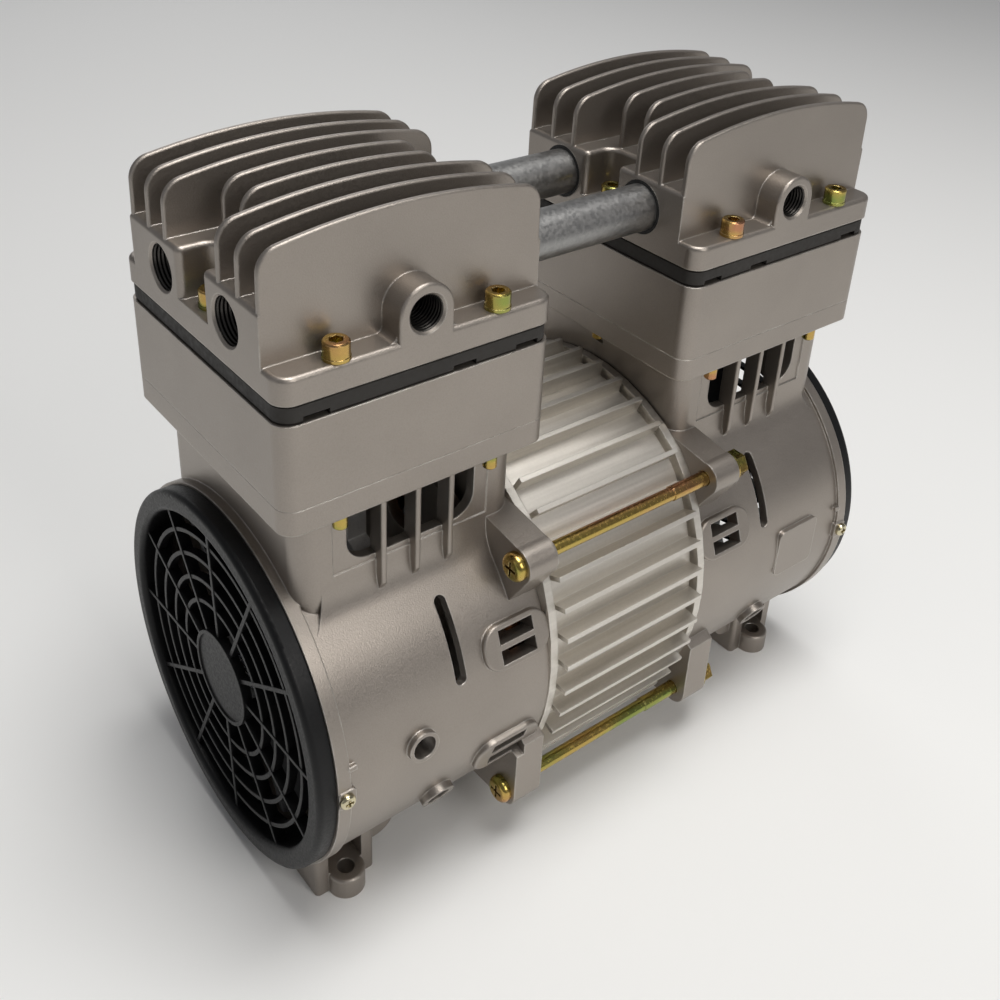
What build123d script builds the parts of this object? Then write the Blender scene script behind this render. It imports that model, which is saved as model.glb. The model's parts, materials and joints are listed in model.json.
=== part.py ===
"""Twin-head oil-free air compressor pump.

The motor shaft lies along X, the cylinders stand along Z and the feet stand on Z = 0.
Every shape is drawn with the shaft axis as its zero height and is lifted to the real
height when it is written. Lengths are millimetres, angles are degrees.
"""
import math
import os

from build123d import *

# --- overall layout -------------------------------------------------------------------
shaft_height = 78.5        # shaft axis above the underside of the feet
head_x = 84.0              # cylinder centre line to the middle of the machine
split_x = 40.0             # face where a crankcase meets the stator housing
guard_joint_x = 131.0      # face where a crankcase meets its fan guard
guard_face_x = 138.0       # outermost face of a fan guard

# --- heights of the cylinder stack, above the shaft axis ------------------------------
flange_bottom = 95.5
flange_top = 104.5
block_top = 134.5
gasket_thick = 0.8
valve_plate_thick = 5.0
plate_bottom = 141.3       # underside of the cylinder head
plate_top = 150.4          # ledge that the bolts clamp
deck_top = 168.0           # floor between the cooling fins
fin_top = 191.0
port_z = 156.3

# --- cylinder head --------------------------------------------------------------------
head_half_x = 51.0
head_half_y = 53.0
head_corner = 6.0
fin_pitch = 12.0
fin_thick = 2.2
fin_count = 8
fin_arch_r = 233.0          # the fin tops follow a shallow arch
fin_corner = 8.0
short_fin_half = 36.7      # the two middle fins stop behind the end notches
notch_half_y = 8.5
notch_depth = 13.3
chamber_half_x = 35.0
chamber_near_y = 5.0
chamber_far_y = 38.0
chamber_top = 165.0
port_y = 22.0
end_port_r = 7.6           # G 3/8 thread, bored to its core diameter
boss_port_r = 5.9          # G 1/4 thread, bored to its core diameter
boss_r = 10.0
bolt_x = 29.6
bolt_y = 49.1
notch_bolt_x = 44.2
bolt_r = 2.5
bolt_clear_r = 2.75
bolt_tip_z = 89.5
washer_thick = 1.2
washer_r = 4.4
bolt_head_r = 4.25
boss_root_r = 2.5          # fillet where a port boss stands on its ledge
boss_z = 158.0             # height of the front and rear port bosses
pipe_r = 8.9
pipe_wall = 1.5
pipe_seat = 11.0           # depth of a crossover pipe in its socket
seal_r = 10.3
seal_width = 1.8

# --- valves, about the cylinder axis --------------------------------------------------
valve_hole_r = 2.6
plate_gap_x = (-38.5, 15.0, 40.0)
plate_gap_height = 1.3     # short gaps along the foot of the valve plate
valve_hole_x = (-7.0, 0.0, 7.0)
intake_y = 18.0
discharge_y = -16.0
intake_root_y = 5.5
discharge_root_y = -33.0
reed_half_x = 11.0
reed_screw_x = 6.0
reed_thick = 0.4
reed_gap = 0.3

# --- running gear ---------------------------------------------------------------------
bore_r = 31.75
crank_throw = 8.0          # half the stroke
crown_top_dead = 132.0     # top of the piston at the top of its stroke
shaft_r_rotor = 9.0
shaft_r_bearing = 8.5
shaft_r_crank = 6.0
shaft_r_fan = 5.0
hub_r = 15.0
rod_bearing_r = 21.0
rod_bearing_width = 7.0
rod_width = 8.0
yoke_gap = 0.4             # clearance left round the rod bearing's whole sweep
yoke_wall = 5.0
running_gap = 0.03
sleeve_wall = 3.0
sleeve_bottom = 86.0
crown_thick = 4.6
cup_thick = 1.2
fan_r = 62.0
fan_blades = 7
fan_pitch = 38.0
fan_x0 = -125.0
fan_x1 = -108.0
fan_hub_r = 15.0

# --- crankcase ------------------------------------------------------------------------
drum_r = 72.5
drum_wall = 4.0
blend_r = 20.0             # fillet between the neck and the drum
collar_r = 73.8
collar_x = 126.0
neck_half_x = 43.5
neck_half_y = 46.0
neck_wall = 4.0
bearing_wall_x = 53.0
bearing_r = 20.0
bearing_x = 62.0
bearing_width = 12.0
rod_y = 65.2               # tie bolts, to either side of the shaft
rod_z_high = 56.8
rod_z_low = -52.3
lug_length = 12.8
lug_r = 7.0
foot_x = 114.0
foot_y = 48.6
foot_hole_r = 3.3
foot_boss_r = 7.2
foot_top = -69.2           # face that the foot bolt clamps
tie_head_face = split_x + lug_length
tie_washer = 1.6
tie_nut = 5.0
tie_head_r = 5.5
tie_shank_r = 2.65
tie_thread_r = 3.0
window_half_x = 25.5       # cooling window in the neck
window_bottom = 70.5       # the shallow panel round the window starts here too
window_corner = 9.0
rib_pitch = 13.5
rib_thick = 2.2
rib_front_y = 50.0
rib_foot_z = 55.0          # the ribs taper away on to the drum here
slot_x = 78.6
slot_width = 4.6
slot_low = 17.5            # ends of the drum slot, in degrees above the shaft
slot_high = 40.0
louvre_x = 54.0
louvre_high = 21.0         # upper and lower louvre, in degrees about the shaft
louvre_low = -18.0
side_boss_x = 85.5
side_boss_angle = -26.5
side_boss_r = 6.6
end_boss_x = 97.2
end_boss_angle = 3.7
end_boss_r = 6.0
boss_hole_r = 4.5
louvre_length = 15.2
louvre_height = 5.6
louvre_gap = 2.2           # bar between the two slots of a louvre

# --- motor ----------------------------------------------------------------------------
stator_centre_z = 3.5      # the barrel sits a little above the shaft axis
stator_half_y = 77.0       # fin tips, to either side
stator_half_z = 81.0       # fin tips, above and below the barrel's own centre
stator_corner_y = 57.5     # where the bulging sides would meet
stator_corner_z = 59.5
stator_corner_r = 40.0
stator_fin_count = 40
stator_fin_height = 7.0
stator_fin_thick = 2.0
core_r = 62.0
core_bore_r = 36.0
core_half = 30.0
winding_r = 59.0
winding_reach = 19.0       # how far the end turns stand out of the core
core_slot_count = 24

# --- fan guard ------------------------------------------------------------------------
guard_r = 72.7
guard_opening_r = 64.6
guard_hub_r = 18.6
guard_ring_count = 4
guard_spoke_count = 12
guard_bar = 1.6
guard_first_ring = 29.8
guard_ring_step = 9.1
guard_spoke_turn = -3.0
guard_screw_x = 128.3
guard_screw_angles = (0, 180)
guard_pad = 0.5            # how far a screw pad stands proud of the collar
guard_screw_head_r = 2.9


# --- small helpers --------------------------------------------------------------------
def block(x0, x1, y0, y1, z0, z1):
    """Box between two corners."""
    size = Box(x1 - x0, y1 - y0, z1 - z0)
    return Pos((x0 + x1) / 2, (y0 + y1) / 2, (z0 + z1) / 2) * size


def bar_x(r, x0, x1, y=0.0, z=0.0):
    """Cylinder along X."""
    return Pos((x0 + x1) / 2, y, z) * Rot(0, 90, 0) * Cylinder(r, x1 - x0)


def bar_y(r, y0, y1, x=0.0, z=0.0):
    """Cylinder along Y."""
    return Pos(x, (y0 + y1) / 2, z) * Rot(90, 0, 0) * Cylinder(r, y1 - y0)


def bar_z(r, z0, z1, x=0.0, y=0.0):
    """Cylinder along Z."""
    return Pos(x, y, (z0 + z1) / 2) * Cylinder(r, z1 - z0)


def ring_x(r_in, r_out, x0, x1, y=0.0, z=0.0):
    """Tube along X."""
    return bar_x(r_out, x0, x1, y, z) - bar_x(r_in, x0 - 1, x1 + 1, y, z)


def rounded_slab(half_x, half_y, corner, z0, z1):
    """Plate with rounded vertical corners."""
    outline = RectangleRounded(2 * half_x, 2 * half_y, corner)
    return Pos(0, 0, z0) * extrude(outline, z1 - z0)


def prism_x(points, x0, x1):
    """Polygon in the YZ plane, given as (y, z) points, run along X."""
    outline = make_face(Polyline(*points, close=True))
    return extrude(Plane.YZ.offset(x0) * outline, x1 - x0)


def turned(angle, shape):
    """Turn a shape drawn on the -Y side upwards about the shaft axis."""
    return Rot(-angle, 0, 0) * shape


def both_sides(shape):
    """A shape and its copy on the other side of the XZ plane."""
    return shape + mirror(shape, about=Plane.XZ)


def mirrored(shape):
    """The right-hand version of a left-hand shape."""
    return mirror(shape, about=Plane.YZ)


def write(name, shape):
    """Lift a finished piece to its real height and write it."""
    placed = Pos(0, 0, shaft_height) * shape
    pieces = placed.solids()
    result = pieces[0] if len(pieces) == 1 else Compound(children=list(pieces))
    result.label = name
    export_step(result, f"parts/{name}.step")


# --- cylinder head --------------------------------------------------------------------
def head_bolt_places():
    """Bolt centres about the cylinder axis: four on the ledges, two in the end notches."""
    corners = [(x, y) for x in (-bolt_x, bolt_x) for y in (-bolt_y, bolt_y)]
    return corners + [(-notch_bolt_x, 0.0), (notch_bolt_x, 0.0)]


def arch_height(x):
    """Height of the fin tops at a distance from the cylinder axis."""
    return fin_top - fin_arch_r + math.sqrt(fin_arch_r ** 2 - x ** 2)


def fin(half_length, y):
    """One upright fin with an arched top, rounded shoulders and softened edges."""
    base_z = plate_top - 2
    shoulder = half_length - 0.8
    low = arch_height(shoulder)
    sloped_side = Line((-half_length, base_z), (-shoulder, low))
    arch = ThreePointArc((-shoulder, low), (0, fin_top), (shoulder, low))
    other_side = Line((shoulder, low), (half_length, base_z))
    foot = Line((half_length, base_z), (-half_length, base_z))
    outline = make_face([sloped_side, arch, other_side, foot])
    outline = fillet(outline.vertices().sort_by(Axis.Y)[-2:], fin_corner)
    blade = Plane.XZ * extrude(outline, fin_thick / 2, both=True)
    face_y = fin_thick / 2 - 0.01
    rim = [e for e in blade.edges() if e.center().Z > plate_top and abs(e.center().Y) > face_y]
    return Pos(0, y, 0) * fillet(rim, 0.7)


def chamber_space(z0, z1):
    """Hollow behind one pair of ports, between two heights."""
    space = block(-chamber_half_x, chamber_half_x, chamber_near_y, chamber_far_y, z0, z1)
    return fillet(space.edges().filter_by(Axis.Z), 6.0)


def notch_corners(floor, is_outer):
    """Upright corner edges of the end notches, at their mouths or at their inner ends."""
    upright = [e for e in floor.edges().filter_by(Axis.Z) if abs(e.center().Y) < notch_half_y + 0.1]
    return [e for e in upright if (abs(e.center().X) > head_half_x - 0.1) == is_outer]


def deck(side_y):
    """Floor between the fins, with a bolt notch in each end and rounded edges."""
    floor = block(-head_half_x, head_half_x, -side_y, side_y, plate_bottom, deck_top)
    for side in (-1, 1):
        x0, x1 = sorted((side * (head_half_x + 5), side * (head_half_x - notch_depth)))
        floor -= block(x0, x1, -notch_half_y, notch_half_y, plate_top, deck_top + 5)
    floor = fillet(notch_corners(floor, False), 5.0)
    floor = fillet(notch_corners(floor, True), 2.4)
    return fillet([e for e in floor.edges() if abs(e.center().Z - deck_top) < 0.01], 1.8)


def boss_root(side_y):
    """Concave fillets on the +Y side where a port boss meets its ledge."""
    r = boss_root_r
    foot = block(-boss_r - r, boss_r + r, side_y - 1, head_half_y - 1.8, plate_top - 1, plate_top + r)
    for side in (-1, 1):
        foot -= bar_y(r, side_y - 2, head_half_y, x=side * (boss_r + r), z=plate_top + r)
    return foot


def cylinder_head():
    """Left-hand head about its own cylinder axis: open ports face -X, pipe sockets face +X."""
    head = rounded_slab(head_half_x, head_half_y, head_corner, plate_bottom, plate_top)
    top_edges = [e for e in head.edges() if abs(e.center().Z - plate_top) < 0.01]
    head = fillet(top_edges, 1.6)
    side_y = (fin_count - 1) * fin_pitch / 2 + fin_thick / 2
    head += deck(side_y)

    boss = bar_y(boss_r, side_y - 4, head_half_y, z=boss_z)
    boss += block(-boss_r, boss_r, side_y - 4, head_half_y, plate_bottom, boss_z)
    rim = [e for e in boss.edges() if e.center().Y > head_half_y - 0.01 and e.center().Z > plate_top]
    boss = fillet(rim, 1.0)
    head += both_sides(boss)
    head += both_sides(boss_root(side_y))

    for index in range(fin_count):
        y = (index - (fin_count - 1) / 2) * fin_pitch
        half_length = short_fin_half if abs(y) < fin_pitch else head_half_x
        head += fin(half_length, y)

    head -= both_sides(chamber_space(plate_bottom - 1, chamber_top))
    for y in (-port_y, port_y):
        head -= bar_x(end_port_r, -head_half_x - 1, -chamber_half_x + 1, y, port_z)
        head -= bar_x(end_port_r, chamber_half_x - 1, head_half_x + 1, y, port_z)
        head -= bar_x(pipe_r + 0.1, head_half_x - pipe_seat, head_half_x + 1, y, port_z)
        head -= bar_x(seal_r, head_half_x - seal_width, head_half_x + 1, y, port_z)
        head -= Pos(-head_half_x, y, port_z) * Rot(0, 90, 0) * Cone(end_port_r + 2, end_port_r, 2)
    for side in (-1, 1):
        face = side * head_half_y
        inside = side * (chamber_far_y - 1)
        head -= bar_y(boss_port_r, min(face, inside), max(face, inside), z=boss_z)
        mouth = Cone(boss_port_r + 2, boss_port_r, 2)
        head -= Pos(0, face, boss_z) * Rot(90 * side, 0, 0) * mouth
    for x, y in head_bolt_places():
        head -= bar_z(bolt_clear_r, plate_bottom - 1, plate_top + 1, x, y)
    return head


def crossover_pipe(y):
    """Straight pipe that joins the same chamber of both heads."""
    end = head_x - head_half_x + pipe_seat - 0.5
    return ring_x(pipe_r - pipe_wall, pipe_r, -end, end, y, port_z)


def pipe_seals():
    """One rubber ring in the mouth of each pipe socket."""
    seals = []
    for side in (-1, 1):
        face = side * (head_x - head_half_x)
        back = face + side * (seal_width - 0.05)
        for y in (-port_y, port_y):
            seals.append(ring_x(pipe_r + 0.02, seal_r - 0.05, min(face, back), max(face, back), y, port_z))
    return Compound(children=seals)


def head_bolt():
    """Socket head cap screw, from its tip below the flange to its head."""
    seat = plate_top + washer_thick
    bolt = bar_z(bolt_r, bolt_tip_z, seat + 0.5)
    head = bar_z(bolt_head_r, seat, seat + 5.0)
    head = chamfer(head.edges().sort_by(Axis.Z)[-1], 0.5)
    socket = Pos(0, 0, seat + 2.2) * extrude(RegularPolygon(2.05, 6, major_radius=False), 4)
    bolt = chamfer(bolt.edges().sort_by(Axis.Z)[0], 0.6)
    return bolt + head - socket


def washer(r_in, r_out, thick):
    """Flat ring standing on its own XY plane."""
    return bar_z(r_out, 0, thick) - bar_z(r_in, -1, thick + 1)


def head_bolts():
    return Compound(children=[Pos(x, y, 0) * head_bolt() for x, y in head_bolt_places()])


def head_bolt_washers():
    """Washers under all twelve head bolts."""
    ring = washer(bolt_clear_r, washer_r, washer_thick)
    washers = []
    for centre in (-head_x, head_x):
        for x, y in head_bolt_places():
            washers.append(Pos(centre + x, y, plate_top) * ring)
    return Compound(children=washers)


# --- valves ---------------------------------------------------------------------------
def valve_plate():
    """Plate between block and head with the intake and discharge holes."""
    bottom = block_top + gasket_thick
    top = bottom + valve_plate_thick
    plate = rounded_slab(head_half_x - 0.6, head_half_y - 0.6, head_corner, bottom, top)
    for x, y in head_bolt_places():
        plate -= bar_z(bolt_clear_r, bottom - 1, top + 1, x, y)
    for x in valve_hole_x:
        for y in (intake_y, discharge_y):
            plate -= bar_z(valve_hole_r, bottom - 1, top + 1, x, y)
    for x in plate_gap_x:
        gap = block(x - 4.5, x + 4.5, head_half_y - 3, head_half_y + 1, bottom - 1, bottom + plate_gap_height)
        plate -= both_sides(gap)
    for x in (-reed_screw_x, reed_screw_x):
        plate -= bar_z(1.5, bottom - 1, bottom + 3.6, x, intake_root_y)
        plate -= bar_z(1.5, bottom + 1.4, top + 1, x, discharge_root_y)
    return plate


def gaskets():
    """Lower gasket with a round opening and upper gasket with two chamber openings."""
    lower_top = block_top + gasket_thick
    lower = rounded_slab(head_half_x - 0.8, head_half_y - 0.8, head_corner, block_top, lower_top)
    lower -= bar_z(bore_r + 0.6, block_top - 1, lower_top + 1)
    for x in plate_gap_x:
        gap = block(x - 4.5, x + 4.5, head_half_y - 3, head_half_y + 1, block_top - 1, lower_top + 1)
        lower -= both_sides(gap)
    upper_z = lower_top + valve_plate_thick
    upper = rounded_slab(head_half_x - 0.7, head_half_y - 0.7, head_corner, upper_z, plate_bottom)
    upper -= both_sides(chamber_space(upper_z - 1, plate_bottom + 1))
    for x, y in head_bolt_places():
        lower -= bar_z(bolt_clear_r, block_top - 1, block_top + 2, x, y)
        upper -= bar_z(bolt_clear_r, upper_z - 1, plate_bottom + 1, x, y)
    return Compound(children=[lower.solid(), upper.solid()])


def reed(root_y, tip_y, z0):
    """Spring-steel flap: a clamped root with two screw holes and a rounded tip."""
    y0 = min(root_y, tip_y) - (3.0 if tip_y > root_y else 0.0)
    y1 = max(root_y, tip_y) + (3.0 if tip_y < root_y else 0.0)
    flap = block(-reed_half_x, reed_half_x, y0, y1, z0, z0 + reed_thick)
    tip_edges = [e for e in flap.edges().filter_by(Axis.Z) if abs(e.center().Y - tip_y) < 0.01]
    flap = fillet(tip_edges, 4.0)
    for x in (-reed_screw_x, reed_screw_x):
        flap -= bar_z(2.1, z0 - 1, z0 + 1, x, root_y)
    return flap


def intake_reed():
    """Flap under the valve plate; it opens down into the cylinder."""
    return reed(intake_root_y, intake_y + 7, block_top + gasket_thick - reed_gap - reed_thick)


def discharge_reed():
    """Flap on top of the valve plate; it opens up into the front chamber."""
    return reed(discharge_root_y, discharge_y + 5, block_top + gasket_thick + valve_plate_thick + reed_gap)


def reed_stop():
    """Bent keeper over the discharge reed, one for each head."""
    foot_z = block_top + gasket_thick + valve_plate_thick + 2 * reed_gap + reed_thick + 0.3
    bend_y = discharge_root_y + 4
    foot = block(-reed_half_x, reed_half_x, discharge_root_y - 3, bend_y, foot_z, foot_z + 1.2)
    ramp = Rot(6, 0, 0) * block(-reed_half_x, reed_half_x, -0.2, 17, 0, 1.2)
    stop = foot + Pos(0, bend_y, foot_z) * ramp
    for x in (-reed_screw_x, reed_screw_x):
        stop -= bar_z(1.6, foot_z - 1, foot_z + 2, x, discharge_root_y)
    return stop


def reed_screws():
    """Screws of all four reeds: heads below for the intake side, above for the discharge side."""
    bottom = block_top + gasket_thick
    top = bottom + valve_plate_thick
    screws = []
    for centre in (-head_x, head_x):
        for x in (-reed_screw_x, reed_screw_x):
            under = bar_z(1.45, bottom - 1.2, bottom + 3.4) + bar_z(2.7, bottom - 2.1, bottom - 1.1)
            screws.append(Pos(centre + x, intake_root_y, 0) * under)
            over = bar_z(1.45, top - 3.4, top + 2.8) + bar_z(2.7, top + 2.5, top + 4.0)
            screws.append(Pos(centre + x, discharge_root_y, 0) * over)
    return Compound(children=screws)


# --- cylinder -------------------------------------------------------------------------
def cylinder_block():
    """Cored aluminium block round the cylinder sleeve."""
    shell = rounded_slab(head_half_x, head_half_y, head_corner, flange_top, block_top)
    core = rounded_slab(head_half_x - 4, head_half_y - 4, head_corner - 3, flange_top - 1, block_top - 6)
    core -= bar_z(bore_r + sleeve_wall + 4, flange_top - 2, block_top)
    for x, y in head_bolt_places():
        core -= bar_z(bolt_r + 4, flange_top - 2, block_top, x, y)
        shell -= bar_z(bolt_clear_r, flange_top - 1, block_top + 1, x, y)
    shell -= core
    shell -= bar_z(bore_r + sleeve_wall, flange_top - 1, block_top + 1)
    return shell


def cylinder_sleeve():
    outside = bar_z(bore_r + sleeve_wall, sleeve_bottom, block_top)
    return outside - bar_z(bore_r, sleeve_bottom - 1, block_top + 1)


# --- crankcase ------------------------------------------------------------------------
def neck_outside():
    """Rectangular tower between drum and cylinder flange, about the cylinder axis."""
    neck = rounded_slab(neck_half_x, neck_half_y + 0.5, 8.0, 0, flange_bottom + 1)
    panel = block(-31, 31, neck_half_y, neck_half_y + 3, window_bottom - 2, flange_bottom)
    return neck - both_sides(panel)


def neck_blend():
    """Concave fillet along the foot of the neck, tangent to its flat front and to the drum."""
    front = -neck_half_y - 0.5
    centre_y = front - blend_r
    centre_z = math.sqrt((drum_r + blend_r) ** 2 - centre_y ** 2)
    share = drum_r / (drum_r + blend_r)
    top = (front, centre_z)
    low = (centre_y * share, centre_z * share)
    turn = math.atan2(centre_z - low[1], low[0] - centre_y) / 2
    middle = (centre_y + blend_r * math.cos(turn), centre_z - blend_r * math.sin(turn))
    inside = (front + 3, low[1] - 3)
    curve = ThreePointArc(top, middle, low)
    outline = make_face([curve, Line(low, inside), Line(inside, top)])
    blend = extrude(Plane.YZ.offset(-neck_half_x) * outline, 2 * neck_half_x)
    flat = neck_half_x - 8.0
    plan = [(-flat, front + 4), (-flat, front), (-flat - 7, front - 7), (flat + 7, front - 7),
            (flat, front), (flat, front + 4)]
    ends = Pos(0, 0, low[1] - 5) * extrude(make_face(Polyline(*plan, close=True)), 30)
    return both_sides(blend & ends)


def neck_window():
    """Opening in the front of the neck with rounded lower corners."""
    front = -neck_half_y - 3
    opening = block(-window_half_x, window_half_x, front, front + 11, window_bottom, flange_bottom)
    corners = [e for e in opening.edges().filter_by(Axis.Y) if e.center().Z < window_bottom + 1]
    return fillet(corners, window_corner)


def neck_ribs():
    """Three upright ribs that cross the window and run down on to the drum."""
    back = -neck_half_y + 3
    toe = -neck_half_y - 1.2
    top = flange_bottom + 1
    profile = [(back, rib_foot_z - 6), (toe, rib_foot_z), (-rib_front_y, rib_foot_z + 5)]
    profile += [(-rib_front_y, top), (back, top)]
    rib = prism_x(profile, -rib_thick / 2, rib_thick / 2)
    front = [e for e in rib.edges().filter_by(Axis.Z) if e.center().Y < -rib_front_y + 0.01]
    rib = fillet(front, 0.8)
    return Pos(-rib_pitch, 0, 0) * rib + rib + Pos(rib_pitch, 0, 0) * rib


def drum_slot():
    """Circumferential slot with round ends."""
    sector = ring_x(60, 80, -slot_width / 2, slot_width / 2)
    corners = [(0, 0)]
    for angle in (slot_low, (slot_low + slot_high) / 2, slot_high):
        corners.append((-95 * math.cos(math.radians(angle)), 95 * math.sin(math.radians(angle))))
    slot = sector & prism_x(corners, -slot_width, slot_width)
    for angle in (slot_low, slot_high):
        slot += turned(angle, bar_y(slot_width / 2, -80, -60))
    return Pos(-slot_x, 0, 0) * slot


def louvre_pad(angle, x):
    """Flat raised pad on the drum, rounded at both ends."""
    outline = Plane.XZ * RectangleRounded(29, 17.5, 7.5)
    pad = Pos(x, -74.4, 0) * extrude(outline, -9)
    face_edges = [e for e in pad.edges() if e.center().Y < -74.3]
    return turned(angle, fillet(face_edges, 0.8))


def louvre_slots(angle, x):
    """The two slots through a louvre pad."""
    x0 = x - louvre_length / 2
    upper = block(x0, x0 + louvre_length, -80, -60, louvre_gap / 2, louvre_gap / 2 + louvre_height)
    lower = mirror(upper, about=Plane.XY)
    return turned(angle, upper + lower)


def lug_profile(points, z):
    """Tie-bolt lug: a web that leans on the drum and ends in a round boss."""
    start = -split_x - lug_length
    web = prism_x(points, start, -split_x)
    return web + bar_x(lug_r, start, -split_x, -rod_y, z)


def tie_lugs():
    high = [(-40, 67.2), (-rod_y + 0.8, rod_z_high + 6.9), (-rod_y - 6.4, rod_z_high - 2.9)]
    high += [(-62, 39), (-40, 39)]
    low = [(-66, -22), (-rod_y - 7.0, -26), (-rod_y - 7.0, rod_z_low), (-rod_y + 1, rod_z_low - 6.9)]
    low += [(-40, -60.5)]
    lugs = lug_profile(high, rod_z_high) + lug_profile(low, rod_z_low)
    return both_sides(lugs)


def foot_bracket():
    """Cross beam under the drum; each drilled boss stands between two short blocks."""
    front = foot_y - 0.6
    beam = block(-126.5, -101, -front, front, -shaft_height, -45)
    block_tops = [e for e in beam.edges().filter_by(Axis.Z)]
    beam = fillet(block_tops, 2.0)
    fairing = block(-102, -90, -45, 45, -67, -45)
    fairing = fillet([e for e in fairing.edges().filter_by(Axis.Y) if e.center().X > -91], 9.0)
    bracket = beam + fairing
    for side in (-1, 1):
        y0, y1 = sorted((side * (front - 13), side * (front + 10)))
        bracket -= block(-foot_x - foot_boss_r, -foot_x + foot_boss_r, y0, y1, foot_top, -40)
        boss = bar_z(foot_boss_r, -shaft_height, foot_top, -foot_x, side * foot_y)
        bracket += fillet(boss.edges().sort_by(Axis.Z)[-1], 1.2)
    bracket -= block(-120, -107, -30, 30, -shaft_height - 1, -74)
    for side in (-1, 1):
        bracket -= bar_z(foot_hole_r, -shaft_height - 1, -60, -foot_x, side * foot_y)
    return bracket


def round_boss(angle, x, r, face_r):
    """Stub that stands out of the drum at an angle; also used to cut its hole."""
    return turned(angle, bar_y(r, -face_r, -60, x=x))


def crankcase(is_left):
    """Left-hand crankcase; the right-hand one has plain seats in place of a boss and a louvre."""
    case = bar_x(drum_r, -guard_joint_x, -split_x)
    case += bar_x(collar_r, -guard_joint_x, -collar_x)
    case += Pos(-head_x, 0, 0) * (neck_outside() + neck_blend())
    flange = rounded_slab(head_half_x, head_half_y, head_corner, flange_bottom, flange_top)
    case += Pos(-head_x, 0, 0) * flange
    case += tie_lugs()
    case += foot_bracket()
    for angle in guard_screw_angles:
        pad = block(-guard_joint_x, -124.5, -collar_r - guard_pad, -60, -3.6, 3.6)
        case += turned(angle, fillet(pad.edges().filter_by(Axis.Y), 1.0))
        case += turned(angle + 9, block(-126.5, -123.5, -collar_r - guard_pad, -70, -0.9, 0.9))
    pads = louvre_pad(louvre_high, -louvre_x)
    louvres = louvre_slots(louvre_high, -louvre_x)
    if is_left:
        pads += louvre_pad(louvre_low, -louvre_x - 3)
        louvres += louvre_slots(louvre_low, -louvre_x - 3)
        case += round_boss(end_boss_angle, -end_boss_x, end_boss_r, drum_r + 2.2)
    else:
        nub = round_boss(-22, -47, 3.2, drum_r + 1.6)
        case += fillet(nub.edges().filter_by(GeomType.CIRCLE).sort_by(Axis.Y)[0], 1.2)
        seat = block(-111, -87, -drum_r - 0.6, -60, -9, 14)
        case += fillet(seat.edges().filter_by(Axis.Y), 3.0)
    pads -= block(-split_x, 0, -100, 0, -60, 60)
    case += both_sides(pads)
    case += round_boss(side_boss_angle, -side_boss_x, side_boss_r, drum_r + 2.7)

    # hollow the drum and the neck
    case -= bar_x(drum_r - drum_wall, -guard_joint_x - 1, -bearing_wall_x - 5)
    case -= bar_x(drum_r - drum_wall - 2, -bearing_wall_x, -split_x + 1)
    inner_x = neck_half_x - neck_wall
    inner_y = neck_half_y - neck_wall
    case -= Pos(-head_x + 1.5, 0, 0) * rounded_slab(inner_x - 8, inner_y, 6.0, 0, flange_bottom - 4)
    case -= bar_z(bore_r + sleeve_wall, flange_bottom - 20, flange_top + 1, x=-head_x)

    # bearing wall with its seat and air openings
    case += ring_x(shaft_r_rotor + 1.5, drum_r - 1, -bearing_wall_x - 5, -bearing_wall_x)
    case += ring_x(shaft_r_rotor + 1.5, bearing_r + 6, -bearing_x - bearing_width / 2 - 1, -bearing_wall_x)
    case -= bar_x(bearing_r, -bearing_x - bearing_width / 2 - 2, -bearing_x + bearing_width / 2)
    case -= bar_x(shaft_r_rotor + 1.5, -bearing_x, -split_x + 1)
    for index in range(6):
        case -= turned(index * 60 + 30, bar_x(10.5, -bearing_wall_x - 6, -bearing_wall_x + 1, y=-46))

    window = neck_window()
    case -= Pos(-head_x, 0, 0) * both_sides(window)
    ribs = Pos(-head_x, 0, 0) * both_sides(neck_ribs())
    case += ribs - bar_x(drum_r - drum_wall, -guard_joint_x, -split_x)
    case -= both_sides(drum_slot())
    case -= both_sides(louvres)
    case -= round_boss(side_boss_angle, -side_boss_x, boss_hole_r, 80)
    if is_left:
        case -= round_boss(end_boss_angle, -end_boss_x, boss_hole_r, 80)
    for x, y in head_bolt_places():
        case -= bar_z(bolt_r + 0.05, flange_bottom - 8, flange_top + 1, x - head_x, y)
    for y in (-rod_y, rod_y):
        for z in (rod_z_high, rod_z_low):
            case -= bar_x(3.2, -split_x - lug_length - 1, -split_x + 1, y, z)
    for angle in guard_screw_angles:
        case -= turned(angle, bar_y(2.05, -80, -60, x=-guard_screw_x))
    return case


# --- fan guard ------------------------------------------------------------------------
def fan_guard():
    """Left-hand guard: rim, spigot, hub disc, concentric rings and spokes."""
    rim = ring_x(guard_opening_r, guard_r, -guard_face_x, -guard_joint_x)
    outer_edge = [e for e in rim.edges() if e.center().X < -guard_face_x + 0.01]
    rim = fillet(outer_edge, 2.2)
    guard = rim + ring_x(guard_opening_r, drum_r - drum_wall - 0.2, -guard_joint_x, -guard_screw_x + 3.5)
    face = -guard_face_x + 2.0
    guard += bar_x(guard_hub_r, face, face + 3.0)
    guard += ring_x(guard_hub_r - 1.5, guard_hub_r, face - 0.6, face + 3.0)
    for index in range(guard_ring_count):
        r = guard_first_ring + index * guard_ring_step
        guard += ring_x(r - guard_bar / 2, r + guard_bar / 2, face + 0.6, face + 4.0)
    for index in range(guard_spoke_count):
        half = guard_bar / 2
        spoke = block(face + 0.3, face + 4.6, guard_hub_r - 1, guard_opening_r + 1, -half, half)
        guard += Rot(index * 360 / guard_spoke_count + guard_spoke_turn, 0, 0) * spoke
    for angle in guard_screw_angles:
        guard -= turned(angle, bar_y(1.8, -80, -60, x=-guard_screw_x))
    return guard


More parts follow.
